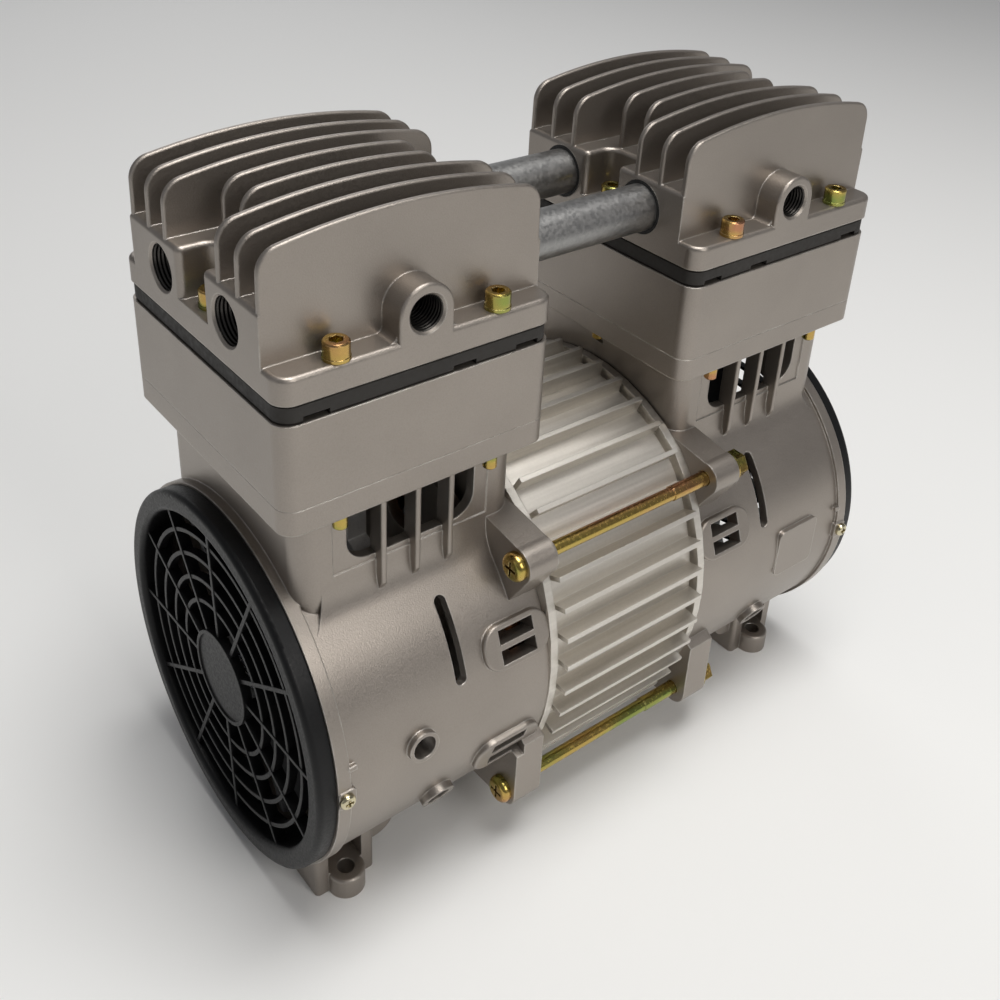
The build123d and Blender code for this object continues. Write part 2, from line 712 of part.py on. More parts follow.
def pan_screw(head_r, head_height, shank_r, length, slot_depth):
    """Pan head screw along +Z with its head's underside at zero and a cross recess."""
    head = bar_z(head_r, 0, head_height)
    head = fillet(head.edges().sort_by(Axis.Z)[-1], head_height * 0.62)
    cross = block(-head_r * 0.55, head_r * 0.55, -0.55, 0.55, head_height - slot_depth, head_height + 1)
    cross += Rot(0, 0, 90) * cross
    return head + bar_z(shank_r, -length, 0.2) - cross


def guard_screws():
    """Radial screws through each crankcase collar into its fan guard."""
    screws = []
    for x in (-guard_screw_x, guard_screw_x):
        for angle in guard_screw_angles:
            screw = Rot(90, 0, 0) * pan_screw(guard_screw_head_r, 2.0, 1.75, 8.0, 1.1)
            screws.append(turned(angle, Pos(x, -collar_r - guard_pad, 0) * screw))
    return Compound(children=screws)


# --- tie bolts ------------------------------------------------------------------------
def tie_places():
    return [(y, z) for y in (-rod_y, rod_y) for z in (rod_z_high, rod_z_low)]


def tie_bolt():
    """Long pan head screw with a rolled shank; only its far end is threaded."""
    head = Rot(0, -90, 0) * pan_screw(tie_head_r, 3.6, tie_shank_r, 0.5, 2.0)
    bolt = Pos(-tie_head_face, 0, 0) * head
    bolt += bar_x(tie_shank_r, -tie_head_face, 22)
    bolt += bar_x(tie_thread_r, 22, tie_head_face + tie_washer + tie_nut + 2.5)
    return chamfer(bolt.edges().sort_by(Axis.X)[-1], 0.7)


def tie_bolts():
    return Compound(children=[Pos(0, y, z) * tie_bolt() for y, z in tie_places()])


def tie_washers():
    x = tie_head_face
    return Compound(children=[ring_x(3.1, 6.2, x, x + tie_washer, y, z) for y, z in tie_places()])


def tie_nuts():
    hexagon = extrude(Plane.YZ * RegularPolygon(5.0, 6, major_radius=False), tie_nut)
    nut = Pos(tie_head_face + tie_washer, 0, 0) * hexagon
    nut -= bar_x(3.05, tie_head_face, tie_head_face + 10)
    return Compound(children=[Pos(0, y, z) * nut for y, z in tie_places()])


# --- motor ----------------------------------------------------------------------------
def stator_outline(inset):
    """Square with bulging sides and rounded corners, drawn as (y, z)."""
    half_y = stator_half_y - inset
    half_z = stator_half_z - inset
    corner_y = stator_corner_y - inset * 0.7
    corner_z = stator_corner_z - inset * 0.7
    right = ThreePointArc((corner_y, -corner_z), (half_y, 0), (corner_y, corner_z))
    top = ThreePointArc((corner_y, corner_z), (0, half_z), (-corner_y, corner_z))
    left = ThreePointArc((-corner_y, corner_z), (-half_y, 0), (-corner_y, -corner_z))
    bottom = ThreePointArc((-corner_y, -corner_z), (0, -half_z), (corner_y, -corner_z))
    outline = make_face([right, top, left, bottom])
    outline = fillet(outline.vertices(), stator_corner_r - inset)
    return Pos(0, stator_centre_z) * outline


def stator_fin_places():
    """Fin stations: position and outward direction, evenly spaced round the outline."""
    rim = stator_outline(stator_fin_height).wire()
    places = []
    for index in range(stator_fin_count):
        point = rim.position_at(index / stator_fin_count)
        angle = math.degrees(math.atan2(point.Y - stator_centre_z, point.X))
        tangent = rim.tangent_at(index / stator_fin_count)
        normal = math.degrees(math.atan2(-tangent.X, tangent.Y))
        if math.cos(math.radians(normal - angle)) < 0:
            normal += 180
        places.append((point.X, point.Y, normal))
    return places


def stator_housing():
    """Finned aluminium barrel with a faceted ring at each end."""
    fin_end = 35.2
    groove_end = 36.6
    barrel = Plane.YZ * stator_outline(stator_fin_height)
    body = extrude(barrel, fin_end, both=True)
    body += extrude(Plane.YZ * stator_outline(stator_fin_height + 2), groove_end, both=True)
    corners = []
    for y, z, angle in stator_fin_places():
        reach = 3.2
        turn = math.radians(angle)
        corners.append((y + reach * math.cos(turn), z + reach * math.sin(turn)))
        half = stator_fin_thick / 2
        blade = block(-fin_end, fin_end, -2, stator_fin_height, -half, half)
        body += Pos(0, y, z) * Rot(angle, 0, 0) * blade
    for x0 in (-split_x, groove_end):
        body += prism_x(corners, x0, x0 + split_x - groove_end)
    for y, z in tie_places():
        body -= bar_x(4.6, -split_x - 1, split_x + 1, y, z)
    body -= bar_x(core_r, -split_x - 1, split_x + 1)
    return body


def stator_core():
    """Laminated core with open slots towards the rotor."""
    core = ring_x(core_bore_r, core_r, -core_half, core_half)
    for index in range(core_slot_count):
        slot = block(-core_half - 1, core_half + 1, core_bore_r + 3, core_bore_r + 17, -2.6, 2.6)
        slot += block(-core_half - 1, core_half + 1, core_bore_r - 1, core_bore_r + 4, -1.2, 1.2)
        core -= Rot(index * 360 / core_slot_count, 0, 0) * slot
    return core


def stator_windings():
    """End turns at both ends of the core."""
    turns = ring_x(core_bore_r + 3, winding_r, core_half, core_half + winding_reach)
    turns = fillet(turns.edges().sort_by(Axis.X)[-2:], 5.0)
    return Compound(children=[turns, mirrored(turns)])


def motor_shaft():
    """Stepped shaft, the same at both ends."""
    shaft = bar_x(shaft_r_rotor, -46, 46)
    shaft += bar_x(shaft_r_bearing, -bearing_x - 7, bearing_x + 7)
    shaft += bar_x(shaft_r_crank, -103, 103)
    return shaft + bar_x(shaft_r_fan, -128.5, 128.5)


def rotor_core():
    """Squirrel-cage rotor with its cast end rings."""
    rotor = ring_x(shaft_r_rotor, core_bore_r - 0.4, -core_half, core_half)
    rotor += ring_x(22, 34, -core_half - 6, core_half + 6)
    return rotor


def main_bearing():
    """Deep-groove ball bearing, shown as one ring with recessed shields."""
    x0 = -bearing_x - bearing_width / 2
    x1 = -bearing_x + bearing_width / 2
    bearing = ring_x(shaft_r_bearing + running_gap, bearing_r, x0, x1)
    bearing -= ring_x(11.5, 17.0, x0 - 1, x0 + 0.8)
    return bearing - ring_x(11.5, 17.0, x1 - 0.8, x1 + 1)


# --- crank, rods and pistons ----------------------------------------------------------
def eccentric(side):
    """Crank hub with its counterweight opposite; side is +1 with the crank up, -1 down."""
    z = side * crank_throw
    hub = bar_x(hub_r, -head_x - 7, -head_x + 13, z=z)
    disc = bar_x(36.0, -head_x + 6, -head_x + 13)
    low, high = sorted((-side * 40.0, side * 3.0))
    weight = disc & block(-head_x, -head_x + 20, -40, 40, low, high)
    return hub + weight - bar_x(shaft_r_crank, -head_x - 20, -head_x + 20)


def rod_bearing(side):
    """Ball bearing pressed on the crank hub."""
    half = rod_bearing_width / 2
    z = side * crank_throw
    bearing = ring_x(hub_r, rod_bearing_r, -head_x - half, -head_x + half, z=z)
    bearing -= ring_x(16.8, 19.2, -head_x - half - 1, -head_x - half + 0.5, z=z)
    return bearing - ring_x(16.8, 19.2, -head_x + half - 0.5, -head_x + half + 1, z=z)


def upright_stadium(r, half_length, x0, x1, z):
    """Round-ended upright slot shape along X."""
    shape = bar_x(r, x0, x1, z=z - half_length) + bar_x(r, x0, x1, z=z + half_length)
    return shape + block(x0, x1, -r, r, z - half_length, z + half_length)


def connecting_rod(side):
    """Rod and piston base in one casting; the yoke clears the whole sweep of the rod bearing."""
    shift = (side - 1) * crank_throw
    centre = crank_throw + shift
    x0 = -head_x - rod_width / 2
    x1 = -head_x + rod_width / 2
    bore = rod_bearing_r + crank_throw + yoke_gap
    rod = upright_stadium(bore + yoke_wall, crank_throw, x0, x1, centre)
    base_top = crown_top_dead + shift - crown_thick - cup_thick
    rod += block(x0, x1, -11, 11, centre + 40, base_top - 3)
    rod -= both_sides(block(x0 - 1, x0 + 2.4, 2, 7.5, centre + 52, base_top - 14))
    rod -= both_sides(block(x1 - 2.4, x1 + 1, 2, 7.5, centre + 52, base_top - 14))
    rod += bar_z(bore_r - 2.2, base_top - 5, base_top, x=-head_x)
    rod += Pos(-head_x, 0, base_top - 9.5) * Cone(13, 24, 9)
    rod -= upright_stadium(bore, crank_throw, x0 - 1, x1 + 1, centre)
    for x, y in retainer_places():
        rod -= bar_z(1.6, base_top - 12, base_top + 1, x - head_x, y)
    return rod


def retainer_places():
    """Three screws on a circle about the cylinder axis."""
    angles = [math.radians(90 + 120 * index) for index in range(3)]
    return [(13 * math.cos(a), 13 * math.sin(a)) for a in angles]


def piston_cup(side):
    """Flexible cup seal with its lip turned up against the bore."""
    base = crown_top_dead + (side - 1) * crank_throw - crown_thick - cup_thick
    lip_r = bore_r - 0.05
    cup = bar_z(lip_r, base, base + crown_thick, x=-head_x)
    cup -= bar_z(lip_r - cup_thick, base + cup_thick, base + 10, x=-head_x)
    for x, y in retainer_places():
        cup -= bar_z(2.2, base - 1, base + 3, x - head_x, y)
    return cup


def cup_retainer(side):
    """Disc that clamps the cup seal."""
    top = crown_top_dead + (side - 1) * crank_throw
    disc = bar_z(bore_r - cup_thick - 0.4, top - crown_thick, top, x=-head_x)
    disc = chamfer(disc.edges().sort_by(Axis.Z)[-1], 0.8)
    for x, y in retainer_places():
        disc -= bar_z(2.2, top - 6, top + 1, x - head_x, y)
        disc -= Pos(x - head_x, y, top - 1.1) * Cone(2.2, 4.2, 2.2)
    return disc


def retainer_screws(side):
    """Countersunk screws through retainer and cup into the rod."""
    top = crown_top_dead + (side - 1) * crank_throw
    screw = bar_z(1.55, top - 15, top - 0.4) + Pos(0, 0, top - 1.2) * Cone(2.0, 3.9, 2.0)
    screw -= extrude(Pos(0, 0, top - 1.6) * RegularPolygon(1.2, 6, major_radius=False), 3)
    return Compound(children=[Pos(x - head_x, y, 0) * screw for x, y in retainer_places()])


# --- fans -----------------------------------------------------------------------------
def cooling_fan():
    """Axial fan with pitched blades on a plain hub."""
    fan = bar_x(fan_hub_r, fan_x0, fan_x1)
    reach = ring_x(10, fan_r, fan_x0, fan_x1)
    for index in range(fan_blades):
        blade = block(-13, 13, -1.1, 1.1, 12, fan_r + 2)
        blade = Pos((fan_x0 + fan_x1) / 2, 0, 0) * Rot(0, 0, fan_pitch) * blade
        fan += Rot(index * 360 / fan_blades, 0, 0) * (blade & reach)
    return fan - bar_x(shaft_r_fan, fan_x0 - 1, fan_x1 + 1)


def fan_clips():
    """Push-on clips that hold the two fans on the shaft."""
    clip = ring_x(shaft_r_fan, 8.5, fan_x0 - 1.2, fan_x0)
    return Compound(children=[clip, mirrored(clip)])


# --- write every piece ----------------------------------------------------------------
os.makedirs("parts", exist_ok=True)

left_parts = {
    "cylinder_head": Pos(-head_x, 0, 0) * cylinder_head(),
    "head_bolts": Pos(-head_x, 0, 0) * head_bolts(),
    "valve_plate": Pos(-head_x, 0, 0) * valve_plate(),
    "gaskets": Pos(-head_x, 0, 0) * gaskets(),
    "intake_reed": Pos(-head_x, 0, 0) * intake_reed(),
    "discharge_reed": Pos(-head_x, 0, 0) * discharge_reed(),
    "reed_stop": Pos(-head_x, 0, 0) * reed_stop(),
    "cylinder_block": Pos(-head_x, 0, 0) * cylinder_block(),
    "cylinder_sleeve": Pos(-head_x, 0, 0) * cylinder_sleeve(),
    "fan_guard": fan_guard(),
    "main_bearing": main_bearing(),
    "cooling_fan": cooling_fan(),
}
for name, shape in left_parts.items():
    write(f"left_{name}", shape)
    write(f"right_{name}", mirrored(shape))

write("left_crankcase", crankcase(True))
write("right_crankcase", mirrored(crankcase(False)))

crank_parts = {
    "eccentric": eccentric,
    "rod_bearing": rod_bearing,
    "connecting_rod": connecting_rod,
    "piston_cup": piston_cup,
    "cup_retainer": cup_retainer,
    "retainer_screws": retainer_screws,
}
for name, make in crank_parts.items():
    write(f"left_{name}", make(1))
    write(f"right_{name}", mirrored(make(-1)))

write("front_crossover_pipe", crossover_pipe(-port_y))
write("rear_crossover_pipe", crossover_pipe(port_y))
write("pipe_seals", pipe_seals())
write("head_bolt_washers", head_bolt_washers())
write("reed_screws", reed_screws())
write("guard_screws", guard_screws())
write("tie_bolts", tie_bolts())
write("tie_washers", tie_washers())
write("tie_nuts", tie_nuts())
write("stator_housing", stator_housing())
write("stator_core", stator_core())
write("stator_windings", stator_windings())
write("motor_shaft", motor_shaft())
write("rotor_core", rotor_core())
write("fan_clips", fan_clips())
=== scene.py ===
import bpy
import json
import math
from mathutils import Matrix, Vector

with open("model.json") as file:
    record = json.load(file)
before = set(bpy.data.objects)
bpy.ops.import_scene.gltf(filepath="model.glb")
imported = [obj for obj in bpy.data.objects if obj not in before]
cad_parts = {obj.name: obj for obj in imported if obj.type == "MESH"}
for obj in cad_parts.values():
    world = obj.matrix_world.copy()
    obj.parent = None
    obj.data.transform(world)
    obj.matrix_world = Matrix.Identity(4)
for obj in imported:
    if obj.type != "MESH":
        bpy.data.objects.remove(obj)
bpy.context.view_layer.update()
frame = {"nodes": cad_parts, "record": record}
print("frame loaded:", len(frame["nodes"]), "nodes")


# small node helpers
def link(tree, source, target):
    tree.links.new(source, target)


def addNode(tree, kind, **settings):
    node = tree.nodes.new(kind)
    for key, value in settings.items():
        setattr(node, key, value)
    return node


def newGroup(name, inputs, outputs):
    group = bpy.data.node_groups.new(name, "ShaderNodeTree")
    for label, kind, value in inputs:
        socket = group.interface.new_socket(label, in_out="INPUT", socket_type=kind)
        socket.default_value = value
    for label, kind in outputs:
        group.interface.new_socket(label, in_out="OUTPUT", socket_type=kind)
    return group, addNode(group, "NodeGroupInput"), addNode(group, "NodeGroupOutput")


def noise(tree, coords, scale, detail=3.0, stretch=None):
    source = coords
    if stretch:
        mapping = addNode(tree, "ShaderNodeMapping")
        mapping.inputs["Scale"].default_value = stretch
        link(tree, coords, mapping.inputs["Vector"])
        source = mapping.outputs["Vector"]
    made = addNode(tree, "ShaderNodeTexNoise")
    made.inputs["Detail"].default_value = detail
    if isinstance(scale, (int, float)):
        made.inputs["Scale"].default_value = scale
    else:
        link(tree, scale, made.inputs["Scale"])
    link(tree, source, made.inputs["Vector"])
    return made


def spread(tree, value, low, high, outLow, outHigh):
    made = addNode(tree, "ShaderNodeMapRange")
    link(tree, value, made.inputs["Value"])
    for label, number in (("From Min", low), ("From Max", high), ("To Min", outLow), ("To Max", outHigh)):
        if isinstance(number, (int, float)):
            made.inputs[label].default_value = number
        else:
            link(tree, number, made.inputs[label])
    return made.outputs["Result"]


def mixColour(tree, mask, first, second):
    made = addNode(tree, "ShaderNodeMix", data_type="RGBA")
    for index, value in ((0, mask), (6, first), (7, second)):
        if hasattr(value, "is_linked"):
            link(tree, value, made.inputs[index])
        else:
            made.inputs[index].default_value = value
    return made.outputs[2]


# shared effects
cloudScale = 28.0        # broad drift of tone, per metre
fineShare = 0.55
cloudShare = 0.45
grainHeight = 0.0002
edgeBreakScale = 160.0        # where the edge wear and painted edge highlight break up
threadDepth = 0.0008


def makeGrain():
    group, given, out = newGroup(
        "surfaceGrain",
        [("Base", "NodeSocketColor", (0.5, 0.5, 0.5, 1)), ("Variation", "NodeSocketFloat", 0.1),
         ("Scale", "NodeSocketFloat", 900.0), ("Rough Low", "NodeSocketFloat", 0.35),
         ("Rough High", "NodeSocketFloat", 0.5), ("Depth", "NodeSocketFloat", 0.3),
         ("Edge Width", "NodeSocketFloat", 0.0006)],
        [("Colour", "NodeSocketColor"), ("Roughness", "NodeSocketFloat"), ("Normal", "NodeSocketVector")])
    coords = addNode(group, "ShaderNodeTexCoord").outputs["Object"]
    fine = noise(group, coords, given.outputs["Scale"], 2.0)
    cloud = noise(group, coords, cloudScale, 4.0)
    both = addNode(group, "ShaderNodeMath", operation="MULTIPLY_ADD")
    both.inputs[1].default_value = fineShare
    link(group, fine.outputs["Fac"], both.inputs[0])
    half = addNode(group, "ShaderNodeMath", operation="MULTIPLY")
    half.inputs[1].default_value = cloudShare
    link(group, cloud.outputs["Fac"], half.inputs[0])
    link(group, half.outputs[0], both.inputs[2])
    shade = spread(group, both.outputs[0], 0.3, 0.7, -1.0, 1.0)
    scaled = addNode(group, "ShaderNodeMath", operation="MULTIPLY_ADD")
    scaled.inputs[2].default_value = 1.0
    link(group, shade, scaled.inputs[0])
    link(group, given.outputs["Variation"], scaled.inputs[1])
    tint = addNode(group, "ShaderNodeVectorMath", operation="SCALE")
    link(group, given.outputs["Base"], tint.inputs[0])
    link(group, scaled.outputs[0], tint.inputs["Scale"])
    link(group, tint.outputs[0], out.inputs["Colour"])
    rough = spread(group, fine.outputs["Fac"], 0.3, 0.7,
                   given.outputs["Rough Low"], given.outputs["Rough High"])
    link(group, rough, out.inputs["Roughness"])
    bevel = addNode(group, "ShaderNodeBevel", samples=4)
    link(group, given.outputs["Edge Width"], bevel.inputs["Radius"])
    bump = addNode(group, "ShaderNodeBump")
    bump.inputs["Distance"].default_value = grainHeight
    link(group, given.outputs["Depth"], bump.inputs["Strength"])
    link(group, fine.outputs["Fac"], bump.inputs["Height"])
    link(group, bevel.outputs["Normal"], bump.inputs["Normal"])
    link(group, bump.outputs["Normal"], out.inputs["Normal"])
    return group


# edges mixed towards a lighter colour: partly real worn paint and metal, partly a painted highlight along
# every edge
def makeEdgeWearAndPaintedHighlight():
    group, given, out = newGroup(
        "edgeWearAndPaintedHighlight",
        [("Colour", "NodeSocketColor", (0.5, 0.5, 0.5, 1)), ("Worn And Highlit Edge", "NodeSocketColor", (0.8, 0.8, 0.8, 1)),
         ("Width", "NodeSocketFloat", 0.0009), ("Amount", "NodeSocketFloat", 0.5)],
        [("Colour", "NodeSocketColor"), ("Mask", "NodeSocketFloat")])
    bevel = addNode(group, "ShaderNodeBevel", samples=4)
    link(group, given.outputs["Width"], bevel.inputs["Radius"])
    facing = addNode(group, "ShaderNodeNewGeometry")
    dot = addNode(group, "ShaderNodeVectorMath", operation="DOT_PRODUCT")
    link(group, bevel.outputs["Normal"], dot.inputs[0])
    link(group, facing.outputs["Normal"], dot.inputs[1])
    edge = spread(group, dot.outputs["Value"], 0.98, 0.8, 0.0, 1.0)
    coords = addNode(group, "ShaderNodeTexCoord").outputs["Object"]
    broken = spread(group, noise(group, coords, edgeBreakScale, 4.0).outputs["Fac"], 0.35, 0.6, 0.2, 1.0)
    mask = addNode(group, "ShaderNodeMath", operation="MULTIPLY")
    link(group, edge, mask.inputs[0])
    link(group, broken, mask.inputs[1])
    amount = addNode(group, "ShaderNodeMath", operation="MULTIPLY", use_clamp=True)
    link(group, mask.outputs[0], amount.inputs[0])
    link(group, given.outputs["Amount"], amount.inputs[1])
    mixed = mixColour(group, amount.outputs[0], given.outputs["Colour"], given.outputs["Worn And Highlit Edge"])
    link(group, mixed, out.inputs["Colour"])
    link(group, amount.outputs[0], out.inputs["Mask"])
    return group


def makeThread():
    group, given, out = newGroup(
        "threadRelief",
        [("Along", "NodeSocketVector", (1, 0, 0)), ("Centre", "NodeSocketVector", (0, 0, 0)),
         ("Radius", "NodeSocketFloat", 0.008), ("Pitch", "NodeSocketFloat", 0.001337)],
        [("Height", "NodeSocketFloat"), ("Mask", "NodeSocketFloat")])
    coords = addNode(group, "ShaderNodeTexCoord").outputs["Object"]
    folded = addNode(group, "ShaderNodeVectorMath", operation="ABSOLUTE")     # both ends and both sides alike
    link(group, coords, folded.inputs[0])
    across = addNode(group, "ShaderNodeVectorMath", operation="SUBTRACT")
    across.inputs[0].default_value = (1, 1, 1)
    link(group, given.outputs["Along"], across.inputs[1])
    flat = addNode(group, "ShaderNodeVectorMath", operation="MULTIPLY")
    link(group, folded.outputs[0], flat.inputs[0])
    link(group, across.outputs[0], flat.inputs[1])
    reach = addNode(group, "ShaderNodeVectorMath", operation="DISTANCE")
    link(group, flat.outputs[0], reach.inputs[0])
    link(group, given.outputs["Centre"], reach.inputs[1])
    mask = addNode(group, "ShaderNodeMath", operation="LESS_THAN")
    link(group, reach.outputs["Value"], mask.inputs[0])
    link(group, given.outputs["Radius"], mask.inputs[1])
    depth = addNode(group, "ShaderNodeVectorMath", operation="DOT_PRODUCT")
    link(group, coords, depth.inputs[0])
    link(group, given.outputs["Along"], depth.inputs[1])
    turns = addNode(group, "ShaderNodeMath", operation="DIVIDE")
    link(group, depth.outputs["Value"], turns.inputs[0])
    link(group, given.outputs["Pitch"], turns.inputs[1])
    wave = addNode(group, "ShaderNodeMath", operation="PINGPONG")
    wave.inputs[1].default_value = 0.5
    link(group, turns.outputs[0], wave.inputs[0])
    height = addNode(group, "ShaderNodeMath", operation="MULTIPLY")
    link(group, wave.outputs[0], height.inputs[0])
    link(group, mask.outputs[0], height.inputs[1])
    link(group, height.outputs[0], out.inputs["Height"])
    link(group, mask.outputs[0], out.inputs["Mask"])
    return group


grainGroup = makeGrain()
edgeWearAndPaintedHighlightGroup = makeEdgeWearAndPaintedHighlight()
threadGroup = makeThread()
print("shared effects ready")


# finishes
# each finish's lighter edge colour and its amount are edge wear and painted edge highlight together
finishes = {
    "castPaint": dict(base=(0.335, 0.300, 0.267), variation=0.11, scale=1900.0, rough=(0.31, 0.47),
                      depth=0.30, metal=0.88, wornAndHighlitEdge=(0.84, 0.81, 0.76), wearAndHighlight=0.60, edge=0.0007),
    "blackPlastic": dict(base=(0.005, 0.005, 0.0055), variation=0.18, scale=1100.0, rough=(0.34, 0.50),
                         depth=0.18, metal=0.0, wornAndHighlitEdge=(0.04, 0.04, 0.04), wearAndHighlight=0.30, edge=0.0005,
                         gloss=0.25),
    "fanPlastic": dict(base=(0.026, 0.026, 0.028), variation=0.15, scale=900.0, rough=(0.42, 0.58),
                       depth=0.15, metal=0.0, wornAndHighlitEdge=(0.05, 0.05, 0.05), wearAndHighlight=0.15, edge=0.0004),
    "gasketFibre": dict(base=(0.020, 0.018, 0.016), variation=0.35, scale=650.0, rough=(0.62, 0.85),
                        depth=0.35, metal=0.0, wornAndHighlitEdge=(0.05, 0.045, 0.04), wearAndHighlight=0.25, edge=0.0003, gloss=0.2),
    "valveSteel": dict(base=(0.032, 0.029, 0.026), variation=0.25, scale=500.0, rough=(0.52, 0.74),
                       depth=0.15, metal=0.3, wornAndHighlitEdge=(0.14, 0.13, 0.12), wearAndHighlight=0.3, edge=0.0004),
    "machinedSteel": dict(base=(0.56, 0.56, 0.57), variation=0.08, scale=1200.0, rough=(0.2, 0.34), depth=0.1,
                          metal=1.0, wornAndHighlitEdge=(0.8, 0.8, 0.8), wearAndHighlight=0.2, edge=0.0004),
    "springSteel": dict(base=(0.40, 0.42, 0.47), variation=0.12, scale=800.0, rough=(0.22, 0.34), depth=0.08,
                        metal=1.0, wornAndHighlitEdge=(0.6, 0.6, 0.62), wearAndHighlight=0.2, edge=0.0002),
    "rodAluminium": dict(base=(0.58, 0.57, 0.56), variation=0.12, scale=1000.0, rough=(0.4, 0.55), depth=0.3,
                         metal=0.9, wornAndHighlitEdge=(0.8, 0.8, 0.78), wearAndHighlight=0.3, edge=0.0006),
    "sealRubber": dict(base=(0.018, 0.018, 0.018), variation=0.15, scale=900.0, rough=(0.6, 0.75), depth=0.15,
                       metal=0.0, wornAndHighlitEdge=(0.04, 0.04, 0.04), wearAndHighlight=0.1, edge=0.0003),
    "cupPolymer": dict(base=(0.13, 0.085, 0.045), variation=0.18, scale=700.0, rough=(0.45, 0.6), depth=0.12,
                       metal=0.0, wornAndHighlitEdge=(0.2, 0.14, 0.08), wearAndHighlight=0.1, edge=0.0003),
    "coreSteel": dict(base=(0.20, 0.20, 0.21), variation=0.18, scale=800.0, rough=(0.45, 0.62), depth=0.3,
                      metal=0.8, wornAndHighlitEdge=(0.4, 0.4, 0.4), wearAndHighlight=0.2, edge=0.0003),
    "windingCopper": dict(base=(0.55, 0.22, 0.09), variation=0.30, scale=600.0, rough=(0.28, 0.42), depth=0.5,
                          metal=0.85, wornAndHighlitEdge=(0.75, 0.4, 0.2), wearAndHighlight=0.1, edge=0.0003),
    "brightZinc": dict(base=(0.62, 0.56, 0.38), variation=0.08, scale=900.0, rough=(0.12, 0.24), depth=0.06,
                       metal=1.0, wornAndHighlitEdge=(0.9, 0.9, 0.86), wearAndHighlight=0.2, edge=0.0004),
}


def startMaterial(name):
    material = bpy.data.materials.new(name)
    material.use_nodes = True
    tree = material.node_tree
    shader = tree.nodes["Principled BSDF"]
    return material, tree, shader


def grained(tree, values):
    grain = addNode(tree, "ShaderNodeGroup", node_tree=grainGroup)
    if "base" in values:        # otherwise a pattern is linked in
        grain.inputs["Base"].default_value = (*values["base"], 1)
    grain.inputs["Rough Low"].default_value, grain.inputs["Rough High"].default_value = values["rough"]
    given = {"Variation": "variation", "Scale": "scale", "Depth": "depth", "Edge Width": "edge"}
    for label, key in given.items():
        grain.inputs[label].default_value = values[key]
    return grain


# lightens the edges: edge wear and painted edge highlight
def wornAndHighlitEdge(tree, colour, values):
    wearAndHighlight = addNode(tree, "ShaderNodeGroup", node_tree=edgeWearAndPaintedHighlightGroup)
    link(tree, colour, wearAndHighlight.inputs["Colour"])
    wearAndHighlight.inputs["Worn And Highlit Edge"].default_value = (*values["wornAndHighlitEdge"], 1)
    wearAndHighlight.inputs["Amount"].default_value = values["wearAndHighlight"]
    return wearAndHighlight


def plainFinish(name):
    values = finishes[name]
    material, tree, shader = startMaterial(name)
    grain = grained(tree, values)
    wearAndHighlight = wornAndHighlitEdge(tree, grain.outputs["Colour"], values)
    link(tree, wearAndHighlight.outputs["Colour"], shader.inputs["Base Color"])
    link(tree, grain.outputs["Roughness"], shader.inputs["Roughness"])
    link(tree, grain.outputs["Normal"], shader.inputs["Normal"])
    shader.inputs["Metallic"].default_value = values["metal"]
    shader.inputs["Specular IOR Level"].default_value = values.get("gloss", 0.5)
    return material


materials = {name: plainFinish(name) for name in finishes}


def yellowZinc():
    # the lighter edge colour and its amount here are edge wear and painted edge highlight together
    values = dict(variation=0.10, scale=800.0, rough=(0.16, 0.30), depth=0.08,
                  wornAndHighlitEdge=(0.85, 0.78, 0.55), wearAndHighlight=0.25, edge=0.0004, driftScale=60.0,
                  film=((0.36, (0.25, 0.31, 0.08, 1)), (0.46, (0.50, 0.37, 0.10, 1)),
                        (0.56, (0.52, 0.33, 0.11, 1)), (0.64, (0.46, 0.22, 0.12, 1))))
    material, tree, shader = startMaterial("yellowZinc")
    coords = addNode(tree, "ShaderNodeTexCoord").outputs["Object"]
    drift = noise(tree, coords, values["driftScale"], 3.0, stretch=(0.22, 1.0, 1.0))
    film = addNode(tree, "ShaderNodeValToRGB")
    ramp = film.color_ramp
    ramp.elements[0].position, ramp.elements[0].color = values["film"][0]
    ramp.elements[1].position, ramp.elements[1].color = values["film"][-1]
    for place, colour in values["film"][1:-1]:
        ramp.elements.new(place).color = colour
    link(tree, drift.outputs["Fac"], film.inputs["Fac"])
    grain = grained(tree, values)
    link(tree, film.outputs["Color"], grain.inputs["Base"])
    wearAndHighlight = wornAndHighlitEdge(tree, grain.outputs["Colour"], values)
    link(tree, wearAndHighlight.outputs["Colour"], shader.inputs["Base Color"])
    link(tree, grain.outputs["Roughness"], shader.inputs["Roughness"])
    link(tree, grain.outputs["Normal"], shader.inputs["Normal"])
    shader.inputs["Metallic"].default_value = 1.0
    return material


def extrudedAluminium():
    # the lighter edge colour and its amount here are edge wear and painted edge highlight together
    values = dict(variation=0.04, scale=900.0, rough=(0.38, 0.43), depth=0.12, wornAndHighlitEdge=(0.90, 0.88, 0.84),
                  wearAndHighlight=0.35, edge=0.0005, lineScale=620.0, dark=(0.64, 0.605, 0.55, 1),
                  light=(0.70, 0.665, 0.61, 1))
    material, tree, shader = startMaterial("extrudedAluminium")
    coords = addNode(tree, "ShaderNodeTexCoord").outputs["Object"]
    lines = noise(tree, coords, values["lineScale"], 3.0, stretch=(0.02, 1.0, 1.0))     # drawn lines
    tone = spread(tree, lines.outputs["Fac"], 0.35, 0.65, 0.0, 1.0)
    grain = grained(tree, values)
    link(tree, mixColour(tree, tone, values["dark"], values["light"]), grain.inputs["Base"])
    wearAndHighlight = wornAndHighlitEdge(tree, grain.outputs["Colour"], values)
    link(tree, wearAndHighlight.outputs["Colour"], shader.inputs["Base Color"])
    link(tree, spread(tree, tone, 0.0, 1.0, *values["rough"]), shader.inputs["Roughness"])
    link(tree, grain.outputs["Normal"], shader.inputs["Normal"])
    shader.inputs["Metallic"].default_value = 0.9
    return material


